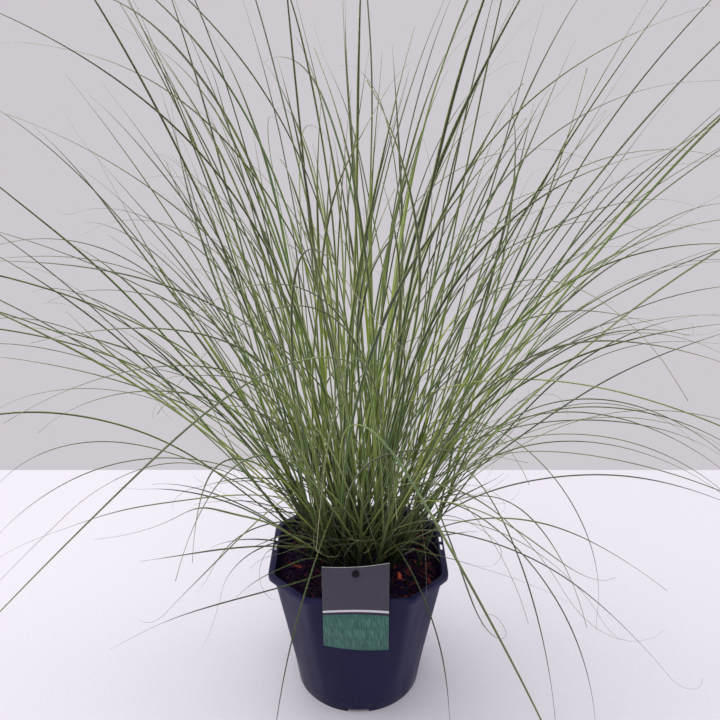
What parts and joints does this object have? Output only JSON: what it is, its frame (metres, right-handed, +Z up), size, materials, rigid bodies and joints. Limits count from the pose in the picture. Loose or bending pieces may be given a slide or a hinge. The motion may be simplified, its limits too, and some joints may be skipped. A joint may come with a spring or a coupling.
{
  "type": "potted ornamental grass",
  "caption": "Clump of fine arching grass in a tapered nursery pot with an eight-sided rim and a plain plant card on a stake.",
  "frame": {"origin": "centre of the pot's underside, on the surface that it stands on", "axes": "+Z up; -Y towards the front, where the card hangs; +X to the right seen from the front"},
  "size_m": [1.1903, 1.2524, 1.0772],
  "materials": {
    "pot": "satin",
    "soil": "matte",
    "card": "satin",
    "stake": "satin",
    "leaf": "satin"
  },
  "bodies": {
    "root": {"pot": "pot", "soil": "soil", "card": "card", "card_stake": "stake", "leafy_stem_01": "leaf", "leafy_stem_02": "leaf", "leafy_stem_03": "leaf", "leafy_stem_04": "leaf", "leafy_stem_05": "leaf", "leafy_stem_06": "leaf", "leafy_stem_07": "leaf", "leafy_stem_08": "leaf", "leafy_stem_09": "leaf", "leafy_stem_10": "leaf", "leafy_stem_11": "leaf", "leafy_stem_12": "leaf", "leafy_stem_13": "leaf", "leafy_stem_14": "leaf", "leafy_stem_15": "leaf", "leafy_stem_16": "leaf", "leafy_stem_17": "leaf", "leafy_stem_18": "leaf", "leafy_stem_19": "leaf", "leafy_stem_20": "leaf", "leafy_stem_21": "leaf", "leafy_stem_22": "leaf", "leafy_stem_23": "leaf", "leafy_stem_24": "leaf", "leafy_stem_25": "leaf", "leafy_stem_26": "leaf", "leafy_stem_27": "leaf", "leafy_stem_28": "leaf", "leafy_stem_29": "leaf", "leafy_stem_30": "leaf", "leafy_stem_31": "leaf", "leafy_stem_32": "leaf", "leafy_stem_33": "leaf", "leafy_stem_34": "leaf", "leafy_stem_35": "leaf", "leafy_stem_36": "leaf", "leafy_stem_37": "leaf", "leafy_stem_38": "leaf", "leafy_stem_39": "leaf", "leafy_stem_40": "leaf", "leafy_stem_41": "leaf", "leafy_stem_42": "leaf", "leafy_stem_43": "leaf", "leafy_stem_44": "leaf", "leafy_stem_45": "leaf", "leafy_stem_46": "leaf", "leafy_stem_47": "leaf", "leafy_stem_48": "leaf", "leafy_stem_49": "leaf"}
  },
  "joints": []
}
